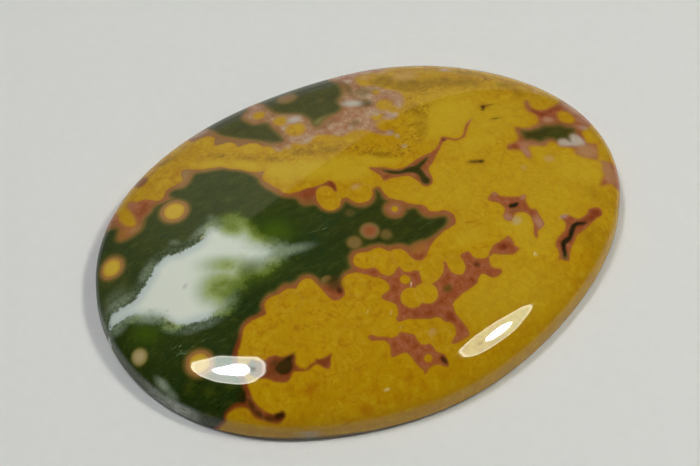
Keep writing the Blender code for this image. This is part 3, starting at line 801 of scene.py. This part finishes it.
def seen(red, green, blue):
    """The base colour whose lit, polished surface looks like this screen colour."""
    linear = [((c / 255 + 0.055) / 1.055) ** 2.4 if c > 10 else c / 255 / 12.92 for c in (red, green, blue)]
    return tuple(min(max(c - VEIL, 0.0004) / LIGHT_LEVEL, 1.0) for c in linear) + (1.0,)


class Nodes:
    """Short ways to add and join shader nodes."""

    def __init__(self, tree):
        self.made = tree.nodes
        self.join = tree.links.new
        self.object_place = None

    def put(self, socket, value):
        if isinstance(value, bpy.types.NodeSocket):
            self.join(value, socket)
        else:
            socket.default_value = value

    def parts(self, vector):
        """X, Y and Z of a vector."""
        node = self.made.new("ShaderNodeSeparateXYZ")
        self.join(vector, node.inputs[0])
        return node.outputs

    def field(self, name, share=1.0):
        """One of the stone's fields, times a share."""
        node = self.made.new("ShaderNodeAttribute")
        node.attribute_name = name
        return node.outputs["Fac"] if share == 1.0 else self.times(node.outputs["Fac"], share)

    def place(self, size, stretch=(1, 1, 1), turn=0.0):
        """The place on the object, in units of this many millimetres."""
        if self.object_place is None:
            self.object_place = self.made.new("ShaderNodeTexCoord").outputs["Object"]
        node = self.made.new("ShaderNodeMapping")
        self.join(self.object_place, node.inputs["Vector"])
        node.inputs["Scale"].default_value = [s / size / MM for s in stretch]
        node.inputs["Rotation"].default_value = (0, 0, radians(turn))
        return node.outputs["Vector"]

    def noise(self, size, detail=3.0, rough=0.5, bend=0.0, seed=0.0, stretch=(1, 1, 1), turn=0.0):
        """Noise whose blotches are about this many millimetres across."""
        node = self.made.new("ShaderNodeTexNoise")
        node.noise_dimensions = "4D"
        self.join(self.place(size, stretch, turn), node.inputs["Vector"])
        for name, value in (("W", seed), ("Scale", 1.0), ("Detail", detail), ("Roughness", rough),
                            ("Distortion", bend)):
            node.inputs[name].default_value = value
        return node.outputs["Fac"]

    def cells(self, size, kind):
        """Distance from the middle, F1, or from the wall of cells about this many millimetres across."""
        node = self.made.new("ShaderNodeTexVoronoi")
        node.feature = kind
        self.join(self.place(size), node.inputs["Vector"])
        node.inputs["Scale"].default_value = 1.0
        return node.outputs["Distance"]

    def maths(self, kind, *values):
        node = self.made.new("ShaderNodeMath")
        node.operation = kind
        for socket, value in zip(node.inputs, values):
            self.put(socket, value)
        return node.outputs[0]

    def add(self, a, b):
        return self.maths("ADD", a, b)

    def times(self, a, b):
        return self.maths("MULTIPLY", a, b)

    def rest(self, share):
        """What a share leaves of the whole."""
        return self.maths("SUBTRACT", 1.0, share)

    def span(self, value, low, high, to_low=0.0, to_high=1.0, smooth=True):
        """A step from to_low to to_high as the value goes from low to high."""
        node = self.made.new("ShaderNodeMapRange")
        node.interpolation_type = "SMOOTHSTEP" if smooth else "LINEAR"
        for name, given in (("Value", value), ("From Min", low), ("From Max", high), ("To Min", to_low),
                            ("To Max", to_high)):
            self.put(node.inputs[name], given)
        return node.outputs["Result"]

    def band(self, value, middle, half, soft):
        """1 within half of middle, falling to 0 over soft."""
        off = self.maths("ABSOLUTE", self.maths("SUBTRACT", value, middle))
        return self.span(off, half + soft, half)

    def mix(self, share, a, b):
        node = self.made.new("ShaderNodeMix")
        node.data_type = "RGBA"
        for name, given in (("Factor", share), ("A", a), ("B", b)):
            self.put(node.inputs[name], given)
        return node.outputs["Result"]

    def layers(self, colour, *tints):
        """Lays screen colours over a colour in turn, each given as its share, red, green and blue."""
        for share, red, green, blue in tints:
            colour = self.mix(share, colour, seen(red, green, blue))
        return colour

    def ramp(self, value, *stops):
        """Screen colours along a value, each given as its place, red, green and blue."""
        node = self.made.new("ShaderNodeValToRGB")
        self.put(node.inputs["Fac"], value)
        marks = node.color_ramp.elements
        while len(marks) < len(stops):
            marks.new(0.5)
        for mark, (at, red, green, blue) in zip(marks, stops):
            mark.position = at
            mark.color = seen(red, green, blue)
        return node.outputs["Color"]


def new_material(name):
    """A material, the means to add nodes to it, and its shader."""
    material = bpy.data.materials.new(name)
    material.use_nodes = True
    n = Nodes(material.node_tree)
    return material, n, n.made["Principled BSDF"]


def new_object(name, data):
    made = bpy.data.objects.new(name, data)
    bpy.context.scene.collection.objects.link(made)
    return made


def green_rock(n):
    """Green chalcedony with threads, strokes and scratches."""
    drift = n.noise(5.0, 4, 0.55, bend=0.6, seed=2.0)
    thread = n.noise(0.7, 5, 0.65, bend=1.2, seed=5.0, stretch=(0.45, 1.3, 1), turn=30)
    strokes = n.noise(0.45, 4, 0.6, bend=0.4, seed=5.5, stretch=(0.3, 1.5, 1), turn=-50)
    patch = n.noise(2.2, 4, 0.6, bend=0.8, seed=5.8)
    lines = n.noise(0.5, 3, 0.6, bend=0.5, seed=6.0, stretch=(0.25, 1.6, 1), turn=-35)
    return n.layers(
        n.ramp(drift, (0.30, 34, 48, 13), (0.50, 42, 54, 15), (0.70, 50, 60, 18)),
        (n.field("east", 0.7), 54, 56, 10),
        (n.field("far", 0.8), 52, 52, 8),
        (n.field("low", 0.7), 29, 42, 11),
        (n.span(patch, 0.52, 0.70, 0, 0.55), 64, 70, 14),
        (n.span(patch, 0.48, 0.30, 0, 0.6), 30, 52, 24),
        (n.span(thread, 0.50, 0.80, 0, 0.6), 66, 80, 28),
        (n.span(strokes, 0.52, 0.72, 0, 0.35), 72, 86, 40),
        (n.span(strokes, 0.46, 0.30, 0, 0.4), 24, 36, 8),
        # Painted light: a yellow green glow where light through the translucent green is painted in
        (n.field("painted_glow", 0.85), 66, 90, 6),
        (n.times(n.field("scratch"), n.span(lines, 0.58, 0.64)), 100, 116, 80))


def with_moss(n, green, tufts, hole):
    """White moss on the green: jagged at the seam, and thinning through yellow green elsewhere."""
    moss = n.add(n.noise(1.3, 6, 0.62, bend=0.3, seed=7.0), -0.5)
    tuft = n.add(tufts, -0.5)
    fade = n.field("fade")
    edge = n.field("whiteedge")
    thinned = n.field("thin")
    wisp = n.field("wisp")
    crisp = n.rest(fade)
    ragged = n.add(edge, n.add(tuft, n.times(moss, n.maths("MULTIPLY_ADD", fade, 1.4, 0.8))))
    reach = n.maths("MULTIPLY_ADD", fade, 1.9, 0.26)
    white = n.span(ragged, n.times(reach, -1.0), reach)
    thin = n.add(thinned, n.times(n.times(moss, fade), 0.5))
    thin = n.add(thin, n.times(n.times(moss, thinned), 0.7))
    cloud = n.times(white, n.rest(n.span(thin, 0.0, 1.0, smooth=False)))
    frayed = n.ramp(cloud, (0.0, 34, 48, 28), (0.30, 84, 98, 78), (0.60, 140, 150, 140),
                    (0.85, 188, 197, 186), (1.0, 208, 214, 202))
    mossy = n.ramp(cloud, (0.0, 44, 58, 16), (0.16, 66, 84, 18), (0.34, 108, 124, 52),
                   (0.54, 148, 161, 104), (0.76, 176, 188, 162), (1.0, 209, 214, 201))
    inland = n.maths("MAXIMUM", n.span(fade, 0.0, 0.5), n.field("inland"))
    moss_colour = n.mix(n.times(inland, n.rest(n.field("chill"))), frayed, mossy)
    cool = n.times(n.times(crisp, n.span(edge, 1.3, 0.1)), n.span(cloud, 0.6, 0.85))
    moss_colour = n.layers(moss_colour, (n.times(cool, 0.8), 173, 184, 182))
    green = n.mix(n.span(cloud, 0.03, 0.24), green, moss_colour)
    outside = n.times(n.span(edge, -1.5, -0.3), n.span(edge, 0.35, -0.1))
    fringe = n.times(crisp, n.times(outside, n.span(cloud, 0.5, 0.1)))
    veil = n.add(wisp, n.times(n.times(wisp, tuft), 2.2))
    return n.layers(
        green,
        (n.times(fringe, n.span(tufts, 0.44, 0.62, 0.1, 0.7)), 88, 104, 84),
        (n.times(fringe, n.span(tufts, 0.50, 0.38, 0.0, 0.85)), 34, 50, 34),
        (n.times(veil, n.span(cloud, 0.6, 0.2)), 148, 160, 136),
        (n.field("sand"), 138, 126, 66),
        (n.field("buff"), 170, 150, 110),
        (n.times(hole, 0.95), 42, 31, 6))


def pink_rock(n, opening, core, open_side, rust):
    """Pink chalcedony between the green and the yellow."""
    blotch = n.noise(0.7, 4, 0.6, seed=9.0)
    upper = n.field("upper")
    mauve = n.ramp(n.noise(1.5, 5, 0.72, seed=9.5), (0.38, 146, 92, 62), (0.50, 162, 118, 90),
                   (0.62, 180, 154, 126))
    pink = n.layers(
        n.ramp(blotch, (0.32, 128, 60, 28), (0.50, 146, 78, 42), (0.68, 158, 96, 64)),
        (n.span(opening, 0.40, 0.08, 0, 0.55), 160, 98, 52),
        (n.field("red"), 122, 54, 24),
        (n.field("rose"), 168, 124, 94),
        (n.field("north", 0.85), 150, 118, 72),
        (n.field("far", 0.85), 134, 95, 60))
    pink = n.mix(n.times(upper, 0.9), pink, mauve)
    return n.layers(
        pink,
        (n.field("umber"), 100, 78, 30),
        (n.field("tan", 0.9), 173, 135, 80),
        (n.field("ember"), 152, 98, 40),
        (n.times(rust, 0.9), 112, 52, 18),
        (n.times(n.span(core, -0.95, -0.35), n.times(open_side, 0.65)), 131, 88, 44),
        (n.times(n.span(core, -0.30, -0.06), n.times(open_side, 0.9)), 112, 88, 38),
        (n.times(n.band(opening, 0.06, 0.04, 0.14), n.span(upper, 1.0, 0.0, 0.1, 0.4)), 144, 76, 26))


def yellow_rock(n, opening):
    """Yellow jasper with mottling, faint orb outlines, veins and an ochre, granular band."""
    broad = n.noise(3.2, 4, 0.55, bend=0.4, seed=11.0)
    mottle = n.noise(0.8, 4, 0.6, bend=0.3, seed=11.5)
    speck = n.noise(0.20, 4, 0.7, seed=12.0)
    veins = n.noise(1.6, 5, 0.6, bend=1.0, seed=11.8)
    orb_wall = n.cells(1.9, "DISTANCE_TO_EDGE")
    orb_middle = n.cells(1.9, "F1")
    joined = n.span(n.noise(3.6, 3, 0.5, seed=12.6), 0.46, 0.60)
    grit = n.noise(0.32, 3, 0.7, seed=13.0)
    lumps = n.noise(0.75, 4, 0.65, bend=0.8, seed=13.4, stretch=(0.8, 1.3, 1), turn=35)
    grain = n.field("grain")
    return n.layers(
        n.ramp(broad, (0.30, 171, 129, 8), (0.50, 177, 137, 10), (0.70, 183, 144, 15)),
        (n.field("south", 0.4), 158, 116, 1),
        (n.span(mottle, 0.50, 0.66, 0, 0.7), 160, 111, 3),
        (n.span(mottle, 0.48, 0.32, 0, 0.7), 182, 149, 24),
        (n.times(n.times(n.span(orb_wall, 0.085, 0.02), joined), 0.26), 158, 108, 3),
        (n.times(n.times(n.band(orb_wall, 0.15, 0.02, 0.05), joined), 0.2), 188, 154, 44),
        (n.times(n.times(n.band(orb_middle, 0.20, 0.01, 0.05), joined), 0.2), 158, 110, 6),
        (n.times(n.band(veins, 0.5, 0.008, 0.03), n.span(broad, 0.42, 0.56, 0.1, 0.4)), 160, 98, 2),
        (n.field("pale", 0.8), 188, 157, 33),
        (n.span(speck, 0.55, 0.75, 0, 0.5), 142, 96, 3),
        (n.span(speck, 0.44, 0.30, 0, 0.3), 184, 148, 36),
        (n.times(grain, n.span(lumps, 0.52, 0.60, 0, 0.75)), 136, 94, 12),
        (n.times(grain, n.span(grit, 0.54, 0.64, 0, 0.6)), 132, 88, 10),
        (n.times(grain, n.span(grit, 0.44, 0.34, 0, 0.35)), 186, 150, 60),
        (n.times(n.field("ochre"), n.span(mottle, 0.3, 0.55, 0.4, 1.0)), 137, 101, 10),
        (n.field("crimson", 0.9), 112, 54, 32),
        # Painted light: the yellow on the side wall is toned to stand in for light that shines through the
        # stone's translucent edge
        (n.field("wall", 0.35), 170, 128, 10),
        (n.field("lobe", 0.5), 186, 148, 52),
        (n.field("amber"), 150, 88, 3),
        (n.field("blush"), 184, 142, 90),
        (n.field("tan", 0.9), 194, 161, 52),
        (n.times(n.band(opening, -0.16, 0.04, 0.14), 0.35), 176, 130, 10))


def stone_material():
    material, n, shader = new_material("polished_ocean_jasper")
    wander = n.times(n.add(n.noise(0.9, 3, 0.55, seed=1.3), -0.5), 0.18)
    shift = n.add(wander, n.times(n.add(n.noise(0.25, 3, 0.55, seed=4.1), -0.5), 0.16))
    opening = n.add(n.field("opening"), shift)
    core = n.add(n.field("core"), shift)
    blur, hole, rust = n.field("blur"), n.field("hole"), n.field("rust")
    open_side = n.times(n.rest(hole), n.rest(rust))
    tufts = n.noise(0.26, 4, 0.7, bend=0.8, seed=7.7)

    green = with_moss(n, green_rock(n), tufts, hole)
    green = n.layers(green, (n.times(n.span(core, 0.40, 0.0, 0.0, 0.55), open_side), 82, 76, 30))
    core_edge = n.add(n.add(blur, 0.07), n.times(hole, -0.05))
    inside = n.span(n.add(core, n.times(hole, 0.10)), n.times(core_edge, -1.0), core_edge)
    body = n.mix(inside, pink_rock(n, opening, core, open_side, rust), green)
    surface = n.mix(n.span(opening, n.times(blur, -1.0), blur), yellow_rock(n, opening), body)

    ghost = n.field("ghost")
    halo = n.ramp(ghost, (0.0, 64, 62, 20), (0.25, 94, 80, 34), (0.45, 122, 98, 50), (0.62, 134, 98, 56),
                  (0.80, 150, 90, 56), (1.0, 146, 82, 44))
    surface = n.mix(n.span(ghost, 0.0, 0.4, 0, 0.9), surface, halo)
    streaked = n.noise(0.6, 4, 0.6, seed=14.0, stretch=(1, 1, 2.5))
    surface = n.layers(
        surface,
        (n.times(n.field("lilac"), n.span(tufts, 0.36, 0.60, 0.45, 1.0)), 168, 152, 140),
        (n.field("crystal"), 174, 162, 152),
        (n.times(n.field("eyewhite"), n.span(tufts, 0.30, 0.60, 0.6, 0.95)), 178, 168, 153),
        (n.field("olive"), 92, 72, 22),
        (n.field("murk"), 66, 46, 14),
        (n.field("dark"), 46, 30, 4),
        (n.field("fleck"), 222, 204, 150),
        (n.times(n.field("frost"), n.span(streaked, 0.32, 0.62, 0.5, 1.3)), 146, 152, 140),
        # Painted shade: a dark contact shadow along the bottom of the front wall
        (n.field("foot_shadow", 0.72), 26, 22, 12))

    n.put(shader.inputs["Base Color"], surface)
    shader.inputs["IOR"].default_value = STONE_IOR
    roughness = n.maths("MULTIPLY_ADD", n.field("wall"), WALL_ROUGHNESS, DOME_ROUGHNESS)
    n.put(shader.inputs["Roughness"], roughness)
    return material


def floor_material():
    material, n, shader = new_material("pale_table")
    tooth = n.noise(1.2, 4, 0.6)
    colour = n.mix(n.span(tooth, 0.3, 0.7), (0.885, 0.885, 0.872, 1), (0.900, 0.900, 0.887, 1))
    n.put(shader.inputs["Base Color"], colour)
    shader.inputs["Roughness"].default_value = 0.9
    shader.inputs["Specular IOR Level"].default_value = 0.1
    return material


def build_stone():
    points, skin, back, bake = make_skin()
    mesh = bpy.data.meshes.new("cabochon_polished")
    mesh.from_pydata((points * MM).tolist(), [], skin.tolist() + back.tolist())
    for name, values in fields(points).items():
        layer = mesh.attributes.new(name, "FLOAT", "POINT")
        layer.data.foreach_set("value", values.astype(np.float32))
    corners = np.zeros(len(mesh.loops), np.int32)
    mesh.loops.foreach_get("vertex_index", corners)
    on_skin, on_back = corners[:skin.size], corners[skin.size:]
    place = np.concatenate([bake[on_skin] * SKIN_HALF + SKIN_MIDDLE,
                            points[on_back, :2] / BACK_REACH * BACK_HALF + BACK_MIDDLE])
    layer = mesh.uv_layers.new(name="OFBake")
    layer.data.foreach_set("uv", place.ravel().astype(np.float32))
    mesh.shade_smooth()
    mesh.normals_split_custom_set_from_vertices(skin_normals(points).tolist())
    mesh.materials.append(stone_material())
    stone = new_object("cabochon_polished", mesh)
    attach(stone, "root")
    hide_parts("cabochon")
    print("stone triangles", 2 * len(skin) + len(back))


def build_floor():
    half = TABLE_HALF * MM
    mesh = bpy.data.meshes.new("table_top")
    corners = [(-half, -half, 0), (half, -half, 0), (half, half, 0), (-half, half, 0)]
    mesh.from_pydata(corners, [], [(0, 1, 2, 3)])
    mesh.materials.append(floor_material())
    floor = new_object("table_top", mesh)
    floor.location.z = -TABLE_DROP * MM


def view_axes():
    """Right, ahead on the level, straight up, and the camera's own line of sight."""
    a, e = radians(VIEW_AZIMUTH), radians(VIEW_ELEVATION)
    right = Vector((cos(a), sin(a), 0))
    ground = Vector((-sin(a), cos(a), 0))
    up = Vector((0, 0, 1))
    return right, ground, up, ground * cos(e) - up * sin(e)


def turned(place, x_axis, y_axis, z_axis):
    """A placed frame with these axes."""
    frame_matrix = Matrix((x_axis, y_axis, z_axis)).transposed().to_4x4()
    frame_matrix.translation = place
    return frame_matrix


def build_camera():
    right, _, _, forward = view_axes()
    data = bpy.data.cameras.new("camera")
    data.lens = VIEW_LENS
    data.sensor_width = VIEW_SENSOR
    data.clip_start = 0.01
    data.clip_end = 20
    camera = new_object("camera", data)
    place = (Vector(VIEW_TARGET) - forward * VIEW_DISTANCE) * MM
    camera.matrix_world = turned(place, right, right.cross(forward), -forward)
    bpy.context.scene.camera = camera


def reach_share(n, u, v, sides):
    """1 on the edge of a many-sided panel and less inside: sides are its reaches in mm, evenly turned."""
    share = None
    for k, side in enumerate(sides):
        turn = 2 * pi * k / len(sides)
        along = n.maths("MULTIPLY_ADD", u, cos(turn) / side, n.times(v, sin(turn) / side))
        share = along if share is None else n.maths("SMOOTH_MAX", share, along, PANEL_ROUNDING)
    return share


def build_lamp(name, middle, direction, panel, core, smudges, warm, levels, tints):
    """A soft panel lamp seen in the polish: a bright core, a dimmer face and a thin bright edge.

    The panel and its core are given by their reaches, and each smudge by its place, width and depth. Warm
    gives the way the tint turns, with where it starts and ends. The levels and tints are the face's, the
    edge's and the core's, but the face has two tints.
    """
    right, ground, up, _ = view_axes()
    towards = (right * direction[0] + ground * direction[1] + up * direction[2]).normalized()
    u_axis = up.cross(towards).normalized()
    half = max(panel) * 1.02
    data = bpy.data.lights.new(name, "AREA")
    data.shape = "SQUARE"
    data.size = 2 * half * MM
    data.energy = LAMP_ENERGY
    data.normalize = False
    data.use_nodes = True
    n = Nodes(data.node_tree)
    emission = n.made["Emission"]
    on_panel = n.parts(n.made.new("ShaderNodeNewGeometry").outputs["Parametric"])
    u, v = (n.maths("MULTIPLY_ADD", on_panel[axis], 2.0 * half, -half) for axis in (0, 1))
    outer = reach_share(n, u, v, panel)
    inner = reach_share(n, u, v, core)
    face, edge, middle_level = levels
    strength = n.add(face, n.times(n.span(outer, 0.905, 0.945), edge - face))
    for at_u, at_v, wide, share in smudges:
        du = n.times(n.add(u, -at_u), 1.0 / wide)
        dv = n.times(n.add(v, -at_v), 1.0 / wide)
        near = n.maths("SQRT", n.add(n.times(du, du), n.times(dv, dv)))
        strength = n.times(strength, n.span(near, 0.4, 1.0, 1.0 - share, 1.0))
    bright = n.span(inner, 1.03, 0.90)
    strength = n.maths("MAXIMUM", strength, n.times(bright, middle_level))
    n.put(emission.inputs["Strength"], n.times(strength, n.span(outer, 1.0, 0.985)))
    turn, low, high = warm
    across = n.maths("MULTIPLY_ADD", u, cos(radians(turn)), n.times(v, sin(radians(turn))))
    tint = n.mix(n.span(across, low, high), tints[0], tints[1])
    tint = n.mix(n.span(outer, 0.895, 0.935), tint, tints[2])
    n.put(emission.inputs["Color"], n.mix(bright, tint, tints[3]))
    place = Vector(middle) + towards * LAMP_DISTANCE
    new_object(name, data).matrix_world = turned(place * MM, u_axis, towards.cross(u_axis), towards)


def build_world():
    """A dim room, with a pale card behind the stone that shows as a haze in its polish."""
    world = bpy.data.worlds.new("studio")
    bpy.context.scene.world = world
    world.use_nodes = True
    n = Nodes(world.node_tree)
    background = n.made["Background"]
    x, y, z = n.parts(n.made.new("ShaderNodeTexCoord").outputs["Generated"])
    right, ground, _, _ = view_axes()
    forward = n.add(n.times(x, ground.x), n.times(y, ground.y))
    sideways = n.add(n.times(x, right.x), n.times(y, right.y))
    angle = n.maths("ARCTAN2", sideways, forward)
    past_right = n.maths("MAXIMUM", n.add(angle, -CARD_RIGHT), 0.0)
    past_left = n.maths("MAXIMUM", n.maths("SUBTRACT", CARD_LEFT, angle), 0.0)
    drop = n.add(n.times(past_right, past_right), n.times(past_left, past_left))
    top = n.maths("MULTIPLY_ADD", drop, CARD_FALL, CARD_TOP)
    card = n.span(n.maths("SUBTRACT", top, z), 0.0, 0.012)
    level = n.times(n.span(angle, -0.75, -0.30, 0.32, 0.72), n.span(z, 0.30, 0.62, 0.65, 1.0))
    strength = n.maths("MAXIMUM", n.span(forward, -0.1, 0.6, 0.03, 0.10), n.times(card, level))
    horizon = n.span(z, 0.22, 0.0)
    strength = n.maths("MAXIMUM", strength, n.times(horizon, n.span(forward, -0.3, 0.3, 0.16, 0.34)))
    tint = n.mix(n.times(card, n.span(horizon, 0.5, 0.0)), (1.0, 0.985, 0.96, 1), (1.0, 0.96, 0.60, 1))
    matt = n.made.new("ShaderNodeLightPath").outputs["Is Diffuse Ray"]
    to_room = n.maths("SUBTRACT", ROOM_LIGHT, strength)
    n.put(background.inputs["Strength"], n.maths("MULTIPLY_ADD", matt, to_room, strength))
    n.put(background.inputs["Color"], n.mix(matt, tint, (1.0, 0.99, 0.97, 1)))


bpy.context.scene.view_settings.view_transform = "Standard"
build_stone()
build_floor()
build_camera()
build_world()
build_lamp(
    "lamp_left", (-19.74, -9.15, 4.37), (-0.226, 0.140, 0.964),
    panel=(56, 47, 44, 38, 37.5, 40, 39, 29, 31.5, 49, 61, 64),
    core=(26, 18.5, 20, 20, 20.5, 19.5, 18, 13, 9, 20, 29, 31),
    smudges=((-12.4, 18.6, 7.5, 0.5),),
    warm=(-51, -20, 35),
    levels=(8.0, 13.0, 46.0),
    tints=((0.78, 0.95, 0.86, 1), (0.97, 1.0, 0.90, 1), (1.0, 0.99, 0.84, 1), (1.0, 0.97, 1.12, 1)))
build_lamp(
    "lamp_right", (4.51, -17.49, 4.01), (0.487, 0.092, 0.869),
    panel=(33, 36, 43.5, 52, 51, 55, 58, 55, 57, 49, 46.5, 39),
    core=(12, 11, 11, 14, 17, 18, 20, 20, 22, 22, 18.6, 14),
    smudges=((-11, 19, 8, 0.5), (-25, -34, 5, 0.5), (17.5, -35, 2.5, 0.7), (10.5, -33.5, 2.5, 0.7)),
    warm=(90, -45, 50),
    levels=(6.4, 11.5, 77.0),
    tints=((0.88, 1.0, 0.74, 1), (0.94, 1.0, 0.66, 1), (1.0, 1.0, 0.78, 1), (1.0, 0.97, 1.0, 1)))
